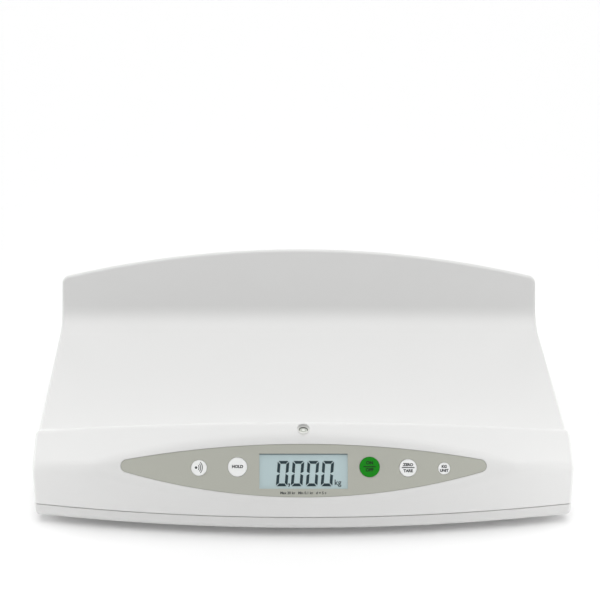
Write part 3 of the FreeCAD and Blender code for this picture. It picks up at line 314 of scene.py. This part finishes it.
def circuit_board(name, mask, track):
    """Glass-fibre board under solder mask, with the copper tracks showing paler through it."""
    track_spacing_mm, relief_mm = 3.5, 0.03
    track_edge, mask_edge = 0.03, 0.06
    material, tree, place = start(name)
    cells = add(tree, "ShaderNodeTexVoronoi",
                {"Vector": place, "Scale": per_mm(track_spacing_mm)},
                feature="DISTANCE_TO_EDGE").outputs["Distance"]
    tracks = add(tree, "ShaderNodeMapRange", {
        "Value": cells, "From Min": track_edge, "From Max": mask_edge,
        "To Min": 1.0, "To Max": 0.0}).outputs["Result"]
    tone = add(tree, "ShaderNodeMix", {MIX_SHARE: tracks, MIX_A: mask, MIX_B: track},
               data_type="RGBA").outputs[MIX_RESULT]
    relief = add(tree, "ShaderNodeBump",
                 {"Height": tracks, "Distance": relief_mm * MM}).outputs["Normal"]
    shader = add(tree, "ShaderNodeBsdfPrincipled",
                 {"Base Color": tone, "Roughness": 0.35, "Normal": relief})
    add(tree, "ShaderNodeOutputMaterial", {"Surface": shader.outputs["BSDF"]})
    return material


def battery_sleeve(name, dark, bright):
    """Shrunk printed sleeve with no words: dark, with a brighter band at one end, glossy."""
    dark_share, edge_mm, scuff_mm = 0.72, 0.2, 2
    smoothest, roughest = 0.18, 0.34
    material, tree, place = start(name)
    low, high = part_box("batteries")
    split = low.x + (high.x - low.x) * dark_share
    along = add(tree, "ShaderNodeSeparateXYZ", {"Vector": place}).outputs["X"]
    band = add(tree, "ShaderNodeMapRange", {
        "Value": along, "From Min": split, "From Max": split + edge_mm * MM}).outputs["Result"]
    scuffs = add(tree, "ShaderNodeTexNoise",
                 {"Vector": place, "Scale": per_mm(scuff_mm), "Detail": 4.0}).outputs["Fac"]
    tone = add(tree, "ShaderNodeMix", {MIX_SHARE: band, MIX_A: dark, MIX_B: bright},
               data_type="RGBA").outputs[MIX_RESULT]
    gloss = add(tree, "ShaderNodeMapRange", {
        "Value": scuffs, "From Min": NOISE_LOW, "From Max": NOISE_HIGH,
        "To Min": smoothest, "To Max": roughest}).outputs["Result"]
    shader = add(tree, "ShaderNodeBsdfPrincipled", {"Base Color": tone, "Roughness": gloss})
    add(tree, "ShaderNodeOutputMaterial", {"Surface": shader.outputs["BSDF"]})
    return material


def studio_paper(name, body):
    """Seamless background paper with a very faint tooth."""
    tooth_mm = 3
    hollow = shade(body, 0.99)
    material, tree, place = start(name)
    tooth = add(tree, "ShaderNodeTexNoise",
                {"Vector": place, "Scale": per_mm(tooth_mm), "Detail": 2.0}).outputs["Fac"]
    tone = add(tree, "ShaderNodeMix", {MIX_SHARE: tooth, MIX_A: hollow, MIX_B: body},
               data_type="RGBA").outputs[MIX_RESULT]
    shader = add(tree, "ShaderNodeBsdfPrincipled", {"Base Color": tone, "Roughness": 0.9})
    add(tree, "ShaderNodeOutputMaterial", {"Surface": shader.outputs["BSDF"]})
    return material


def finishes():
    """One finish for every material slot of the record.

    Plastics give their roughness and their grain's width and relief in millimetres, metals their
    roughness, the width of their lines in millimetres and how many times longer the lines are.
    Spark-eroded grain is 0.2 mm across and tool lines are 0.1 mm wide; both are drawn 0.3 to
    1.2 mm wide so that they show.
    """
    c = colours()
    return {
        "white_shell": moulded_plastic("satin_white_abs", c.shell, 0.44, 1.2, 0.01),
        "white_base": moulded_plastic("satin_white_abs_housing", c.housing, 0.4, 1.2, 0.01),
        "panel_grey": moulded_plastic("matt_polyester_foil", c.panel, 0.5, 0.6, 0.006),
        "window_clear": clear_acrylic("etched_clear_acrylic", linear("F4F8F9"), 0.25),
        "display_glass": lit_display("liquid_crystal_glass", c.display),
        "light_guide": moulded_plastic("frosted_acrylic", linear("E6E8E4"), 0.5, 1.0, 0.01),
        "black_frame": moulded_plastic("black_abs", linear("1C1C1C"), 0.5, 0.8, 0.02),
        "board": circuit_board("solder_mask", linear("1F5B34"), linear("3D8A4E")),
        "component_black": moulded_plastic("black_epoxy", linear("191919"), 0.6, 0.5, 0.02),
        "key_grey": moulded_plastic("white_key_abs", c.key, 0.32, 0.8, 0.006),
        "key_green": moulded_plastic("green_key_abs", c.power_key, 0.32, 0.8, 0.006),
        "plunger_white": moulded_plastic("white_acetal", linear("DCDCD6"), 0.45, 0.8, 0.01),
        "screw_steel": worked_metal("zinc_plated_screws", linear("B9BCBF"), 0.3, 0.5, 30),
        "plate_steel": worked_metal("zinc_plated_sheet", linear("AEB2B5"), 0.38, 1.2, 30),
        "cell_aluminium": worked_metal("milled_aluminium", linear("D4D6D8"), 0.32, 0.4, 30),
        "brass": worked_metal("turned_brass", linear("D8B25E"), 0.28, 0.5, 6),
        "black_plastic": moulded_plastic("black_nylon", linear("1E1F20"), 0.55, 0.7, 0.03),
        "rubber": moulded_rubber("black_rubber", linear("2A2A2A")),
        "battery_wrap": battery_sleeve("battery_sleeve", linear("24282D"), linear("B8A468")),
        "contact_nickel": worked_metal("nickel_plated_spring", linear("CFCBC2"), 0.18, 0.3, 30),
        "level_white": moulded_plastic("white_level_cup", linear("ECECE9"), 0.3, 0.5, 0.01),
        "level_vial": moulded_plastic("milky_level_liquid", linear("DDE0D6"), 0.12, 0.5, 0.002),
    }


# ---------------------------------------------------------------- building pieces

def mesh_piece(name, shape, matrix, body, material):
    """Link a bmesh as a piece that rides on a body."""
    mesh = bpy.data.meshes.new(name)
    shape.to_mesh(mesh)
    shape.free()
    mesh.materials.append(material)
    piece = bpy.data.objects.new(name, mesh)
    piece.matrix_world = matrix
    bpy.context.scene.collection.objects.link(piece)
    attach(piece, body)


def printed_shapes(outlines):
    """Closed flat outlines in millimetres, given the thickness of the print along Z."""
    shape = bmesh.new()
    for outline in outlines:
        low = [shape.verts.new((x * MM, y * MM, 0)) for x, y in outline]
        high = [shape.verts.new((x * MM, y * MM, sizes().print_depth)) for x, y in outline]
        shape.faces.new(high)
        shape.faces.new(low[::-1])
        for n in range(len(outline)):
            after = (n + 1) % len(outline)
            shape.faces.new((low[n], low[after], high[after], high[n]))
    return shape


def word(name, text, height_mm, matrix, body, material, weight_mm):
    """Printed lettering, centred, with the height of its capitals and how far strokes widen."""
    capital_share = 0.69  # of the size of Blender's own face
    curve = bpy.data.curves.new(name, "FONT")
    curve.body = text
    curve.align_x = "CENTER"
    curve.align_y = "CENTER"
    curve.size = height_mm * MM / capital_share
    curve.offset = weight_mm * MM
    curve.extrude = sizes().print_depth
    curve.materials.append(material)
    piece = bpy.data.objects.new(name, curve)
    piece.matrix_world = matrix
    bpy.context.scene.collection.objects.link(piece)
    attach(piece, body)


def on_panel(across, up, out):
    """A place in the panel's frame, in millimetres."""
    return PANEL @ Matrix.Translation(Vector((across, up, out)) * MM)


def extent_on_panel(node):
    """A node's lowest and highest corners in the panel's frame, in millimetres."""
    points = [PANEL.inverted() @ vertex.co / MM for vertex in nodes[node].data.vertices]
    return [Vector(pick(point[axis] for point in points) for axis in range(3))
            for pick in (min, max)]


def bar(width, height):
    """The outline of a printed bar about its middle."""
    x, y = width / 2, height / 2
    return [(-x, -y), (x, -y), (x, y), (-x, y)]


def circle_points(radius, angles):
    """Points on a circle about the origin, at angles in radians."""
    return [(math.cos(angle) * radius, math.sin(angle) * radius) for angle in angles]


def arc(radius, width, half_angle, steps):
    """The outline of a printed arc that opens to the left, angles in degrees."""
    angles = [math.radians(half_angle * (2 * n / steps - 1)) for n in range(steps + 1)]
    outer = circle_points(radius + width / 2, angles)
    inner = circle_points(radius - width / 2, angles)
    return outer + inner[::-1]


def dot(radius, steps=24):
    """The outline of a printed dot."""
    return circle_points(radius, [2 * math.pi * n / steps for n in range(steps)])


def ring_halves(rim, hollow):
    """The space between two dots of as many steps, as the outlines of its far and near half."""
    steps = len(rim)
    half = steps // 2
    outlines = []
    for first in (0, half):
        outer, inner = ([circle[n % steps] for n in range(first, first + half + 1)]
                        for circle in (rim, hollow))
        outlines.append(outer + inner[::-1])
    return outlines


def moved(outline, across, up):
    """An outline moved on its plane."""
    return [(x + across, y + up) for x, y in outline]


def zero_outlines(left, foot):
    """The six segments of a slanted zero from its lower left corner, in millimetres."""
    s = sizes()
    width, height, stroke = s.digit_width / MM, s.digit_height / MM, s.digit_stroke / MM
    slant = math.tan(s.digit_slant)
    half = stroke / 2
    gap = stroke * 0.1
    corner_cut = stroke * 0.2
    # how far a segment's outer and inner edge stop short of the digit's corner and of its waist
    corner = (gap + corner_cut, gap + stroke)
    waist = (gap + half, gap)

    def flat(y):
        """The level segment whose middle is at a height."""
        inward = half if y == half else -half
        outer, inner = corner
        return [(outer, y - inward), (width - outer, y - inward),
                (width - inner, y + inward), (inner, y + inward)]

    def upright(x, low, high, below, above):
        """The upright segment between two heights, and what it stops short of at each."""
        inward = half if x == half else -half
        return [(x - inward, low + below[0]), (x + inward, low + below[1]),
                (x + inward, high - above[1]), (x - inward, high - above[0])]

    outlines = [flat(half), flat(height - half)]
    for x in (half, width - half):
        outlines.append(upright(x, 0, height / 2, corner, waist))
        outlines.append(upright(x, height / 2, height, waist, corner))
    return [[(left + x + y * slant, foot + y) for x, y in outline] for outline in outlines]


# ---------------------------------------------------------------- operators

class FinishNodes(bpy.types.Operator):
    """Give every CAD node the finish of its material slot"""

    bl_idname = "scale.finish_nodes"
    bl_label = "Finishes"

    def execute(self, context):
        made = finishes()
        for entry in frame["record"]["subparts"]:
            mesh = nodes[entry["node"]].data
            mesh.materials.clear()
            mesh.materials.append(made[entry["material_slot"]])
        return {"FINISHED"}


class DisplayReading(bpy.types.Operator):
    """Draw the resting reading on the display glass: four slanted zeros, a decimal mark and kg, and a painted
    shadow along the glass's top
    """

    bl_idname = "scale.display_reading"
    bl_label = "Display Reading"

    # places and sizes in millimetres in the panel's frame, whose middle is 0 across
    lift = 0.03
    digit_count = 4
    first_digit = -28.1
    foot_above_edge = 3.34
    mark_before_second_digit = 1.8
    # the decimal mark with its tail, from the digits' foot
    mark_outline = ((1.2, 1.3), (0.4, -0.4), (-0.9, -0.6), (0.0, 1.1),
                    (-0.6, 1.3), (-0.6, 3.0), (1.0, 3.0))
    glass_margin = 1.0
    shadow_bar_width = 1.2
    unit_across = 34.8
    unit_above_foot = 3.7
    unit_height = 5.4
    unit_weight = 0.12

    def execute(self, context):
        ink = screen_print("dark_segment", colours().digits)
        low, high = extent_on_panel("lcd_glass")
        glass = high.z + self.lift
        foot = low.y + self.foot_above_edge
        pitch = sizes().digit_pitch / MM
        outlines = []
        for n in range(self.digit_count):
            outlines += zero_outlines(self.first_digit + n * pitch, foot)
        mark_across = self.first_digit + pitch - self.mark_before_second_digit
        outlines.append(moved(self.mark_outline, mark_across, foot))
        mesh_piece("reading", printed_shapes(outlines), on_panel(0, 0, glass), "platform",
                   ink)
        # a painted shadow: a darker bar along the top of the display glass stands in for the shade that the
        # window's upper edge casts on the recessed glass
        shadow_bar = bar(high.x - low.x - 2 * self.glass_margin, self.shadow_bar_width)
        top = high.y - self.glass_margin - self.shadow_bar_width / 2
        mesh_piece("display_painted_top_shadow", printed_shapes([shadow_bar]), on_panel(0, top, glass), "platform",
                   screen_print("painted_window_shadow", linear("A4AFB4")))
        unit_place = on_panel(self.unit_across, foot + self.unit_above_foot, glass)
        word("reading_unit", "kg", self.unit_height, unit_place, "platform", ink, self.unit_weight)
        return {"FINISHED"}


class PanelLettering(bpy.types.Operator):
    """Print the weighing range on the panel and the lettering on the five keys"""

    bl_idname = "scale.panel_lettering"
    bl_label = "Lettering"

    # places and sizes in millimetres in the panel's frame, whose middle is 0 across
    lift = 0.01
    range_text = "Max 20 kg   Min 0.1 kg   d = 5 g"
    range_height = 2.5
    range_weight = 0.11
    range_across = -0.4
    range_below_glass = 3.27
    key_weight = 0.21
    rise_above_key_middle = 0.35
    # key, word, height of its capitals and place above the lettering's middle
    key_words = (
        ("hold", "HOLD", 2.8, 0.0),
        ("power", "ON", 3.1, 3.8),
        ("power", "OFF", 3.1, -3.3),
        ("zero", "ZERO", 2.7, 2.8),
        ("zero", "TARE", 2.7, -3.3),
        ("unit", "KG", 2.6, 1.6),
        ("unit", "UNIT", 2.5, -2.4),
    )
    rule_widths = {"power": 12.8, "zero": 13.0}
    rule_thickness = 0.95
    dot_radius = 1.3
    dot_across = -3.0
    # radius of each wave of the sound sign and half the angle it spans, in degrees
    waves = ((4.9, 30), (6.6, 35), (8.3, 41))
    wave_centre_across = -4.9
    wave_width = 0.75
    wave_steps = 16
    green_ink_shade = 0.04

    def on_key(self, key, up=0.0):
        """A place on a key's face, above the middle of its lettering."""
        low, high = extent_on_panel(key + "_key")
        middle = (low + high) / 2
        return on_panel(middle.x, middle.y + self.rise_above_key_middle + up, high.z + self.lift)

    def execute(self, context):
        ink = screen_print("dark_print", colours().ink)
        green_ink = screen_print("dark_green_print",
                                 shade(colours().power_key, self.green_ink_shade))
        inks = {"hold": ink, "power": green_ink, "zero": ink, "unit": ink}
        face = extent_on_panel("panel_overlay")[1].z
        under_display = extent_on_panel("lcd_glass")[0].y - self.range_below_glass
        range_place = on_panel(self.range_across, under_display, face + self.lift)
        word("range_print", self.range_text, self.range_height, range_place, "platform", ink,
             self.range_weight)
        for key, text, height, up in self.key_words:
            word(text.lower() + "_print", text, height, self.on_key(key, up), key + "_button",
                 inks[key], self.key_weight)
        for key, width in self.rule_widths.items():
            rule = bar(width, self.rule_thickness)
            mesh_piece(key + "_rule_print", printed_shapes([rule]), self.on_key(key),
                       key + "_button", inks[key])
        sound_sign = [moved(dot(self.dot_radius), self.dot_across, 0)]
        for radius, half_angle in self.waves:
            wave = arc(radius, self.wave_width, half_angle, self.wave_steps)
            sound_sign.append(moved(wave, self.wave_centre_across, 0))
        mesh_piece("sound_print", printed_shapes(sound_sign), self.on_key("sound"),
                   "sound_button", ink)
        return {"FINISHED"}


class SpiritLevel(bpy.types.Operator):
    """Add the target ring, a painted shadow at the vial's far rim and the bubble of the spirit level"""

    bl_idname = "scale.spirit_level"
    bl_label = "Spirit Level"

    # shares of the vial's radius
    ring_share = 0.56
    # outer and inner edge of the painted rim shadow; the inner edge is moved towards the near side
    rim_shadow_share = 0.97
    rim_shadow_hollow_share = 0.84
    rim_shadow_hollow_shift = 0.13
    bubble_share = 0.4
    # height of the bubble as a share of its width
    bubble_flatness = 0.35
    # in millimetres
    ring_width = 0.35
    print_lift = 0.02
    bubble_depth = 0.4
    circle_steps = 48

    def execute(self, context):
        low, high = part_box("level_vial")
        middle = (low + high) / 2
        radius = (high.x - low.x) / 2 / MM
        ink = screen_print("grey_ring_print", linear("8C908F"))
        # dark grey of the painted shadow at the vial's far rim
        rim_shadow_ink = screen_print("painted_rim_shadow", linear("26282A"))
        place = Matrix.Translation(Vector((middle.x, middle.y, high.z + self.print_lift * MM)))
        right_half = arc(radius * self.ring_share, self.ring_width, half_angle=90,
                         steps=self.circle_steps // 2)
        left_half = [(-x, y) for x, y in right_half][::-1]
        mesh_piece("level_ring", printed_shapes([right_half, left_half]), place, "platform",
                   ink)
        # a painted shadow: a dark crescent, widest at the far rim, stands in for the shade inside the level's
        # recess behind the vial
        rim = dot(radius * self.rim_shadow_share, self.circle_steps)
        hollow = moved(dot(radius * self.rim_shadow_hollow_share, self.circle_steps), 0,
                       -radius * self.rim_shadow_hollow_shift)
        mesh_piece("level_painted_rim_shadow", printed_shapes(ring_halves(rim, hollow)), place, "platform",
                   rim_shadow_ink)
        bubble = bmesh.new()
        bmesh.ops.create_uvsphere(bubble, u_segments=32, v_segments=16,
                                  radius=radius * self.bubble_share * MM)
        for vertex in bubble.verts:
            vertex.co.z *= self.bubble_flatness
        for face in bubble.faces:
            face.smooth = True
        air = moulded_plastic("air_bubble", linear("F4F6F2"), 0.1, 0.5, 0.001)
        sunk = Matrix.Translation(Vector((middle.x, middle.y, high.z - self.bubble_depth * MM)))
        mesh_piece("level_bubble", bubble, sunk, "platform", air)
        return {"FINISHED"}


class Stage(bpy.types.Operator):
    """Pale floor, soft studio lights and the camera"""

    bl_idname = "scale.stage"
    bl_label = "Stage"

    ambient = 0.26
    # name: turn from the front to the right and height above the floor in degrees, width as seen
    # from the scale in degrees, and strength, where 1 lights white paper fully
    softboxes = {
        "overhead_softbox": (0, 90, 60, 0.56),
        "back_softbox": (180, 10, 30, 0.17),
        "left_back_softbox": (-120, 20, 40, 0.25),
        "right_back_softbox": (120, 20, 40, 0.2),
    }
    # lit cards that stand beside the front: which side and brightness, where 1 is lit white paper
    cards = {"left_card": (-1, 0.76), "right_card": (1, 1.05)}
    card_place = Vector((450, -400, 150)) * MM
    card_size = Vector((500, 300)) * MM
    # the camera's place in metres, how far it looks down, and its shift as a share of the width
    camera_place = (-0.0358, -1.217, 0.926)
    camera_tilt = math.radians(31.4)
    camera_shift = 0.053

    def execute(self, context):
        scene = context.scene
        scene.view_settings.view_transform = "Standard"
        half = sizes().floor_side / 2
        mesh = bpy.data.meshes.new("floor")
        mesh.from_pydata([(-half, -half, 0), (half, -half, 0), (half, half, 0), (-half, half, 0)],
                         [], [(0, 1, 2, 3)])
        mesh.materials.append(studio_paper("studio_paper", linear("FFFFFF")))
        floor = bpy.data.objects.new("floor", mesh)
        scene.collection.objects.link(floor)

        world = bpy.data.worlds.new("studio")
        world.use_nodes = True
        background = world.node_tree.nodes["Background"]
        background.inputs["Color"].default_value = (1, 1, 1, 1)
        background.inputs["Strength"].default_value = self.ambient
        scene.world = world
        for name, (turn, height, spread, strength) in self.softboxes.items():
            softbox = bpy.data.lights.new(name, "SUN")
            softbox.energy = strength * math.pi
            softbox.angle = math.radians(spread)
            lamp = bpy.data.objects.new(name, softbox)
            lamp.rotation_euler = (math.radians(90 - height), 0, math.radians(turn))
            scene.collection.objects.link(lamp)
        for name, (side, brightness) in self.cards.items():
            card = bpy.data.lights.new(name, "AREA")
            card.shape = "RECTANGLE"
            card.size, card.size_y = self.card_size
            card.energy = brightness * math.pi * card.size * card.size_y
            lamp = bpy.data.objects.new(name, card)
            lamp.location = (side * self.card_place.x, self.card_place.y, self.card_place.z)
            lamp.rotation_euler = Vector((-side, 0, 0)).to_track_quat("-Z", "Y").to_euler()
            lamp.visible_camera = False
            scene.collection.objects.link(lamp)

        lens = bpy.data.cameras.new("camera")
        lens.lens = sizes().camera_lens / MM
        lens.shift_x = self.camera_shift
        camera = bpy.data.objects.new("camera", lens)
        camera.location = self.camera_place
        camera.rotation_euler = (math.radians(90) - self.camera_tilt, 0, 0)
        scene.collection.objects.link(camera)
        scene.camera = camera
        return {"FINISHED"}


OPERATORS = (FinishNodes, DisplayReading, PanelLettering, SpiritLevel, Stage)


class ScalePanel(bpy.types.Panel):
    """The sidebar panel that lists the settings and the pieces"""

    bl_idname = "VIEW3D_PT_baby_scale"
    bl_label = "Baby Scale"
    bl_space_type = "VIEW_3D"
    bl_region_type = "UI"
    bl_category = "Baby Scale"

    def draw(self, context):
        for group in (colours(), sizes()):
            for name in group.__annotations__:
                self.layout.prop(group, name)
        for operator in OPERATORS:
            self.layout.operator(operator.bl_idname)


CLASSES = (ScaleColours, ScaleSizes, *OPERATORS, ScalePanel)


def register():
    """Register the add-on's classes and settings."""
    for item in CLASSES:
        bpy.utils.register_class(item)
    bpy.types.Scene.scale_colours = bpy.props.PointerProperty(type=ScaleColours)
    bpy.types.Scene.scale_sizes = bpy.props.PointerProperty(type=ScaleSizes)


def unregister():
    """Remove what register added."""
    del bpy.types.Scene.scale_sizes
    del bpy.types.Scene.scale_colours
    for item in reversed(CLASSES):
        bpy.utils.unregister_class(item)


def main():
    """Build every piece in order."""
    register()
    bpy.ops.scale.finish_nodes()
    bpy.ops.scale.display_reading()
    bpy.ops.scale.panel_lettering()
    bpy.ops.scale.spirit_level()
    bpy.ops.scale.stage()


if __name__ == "__main__":
    main()
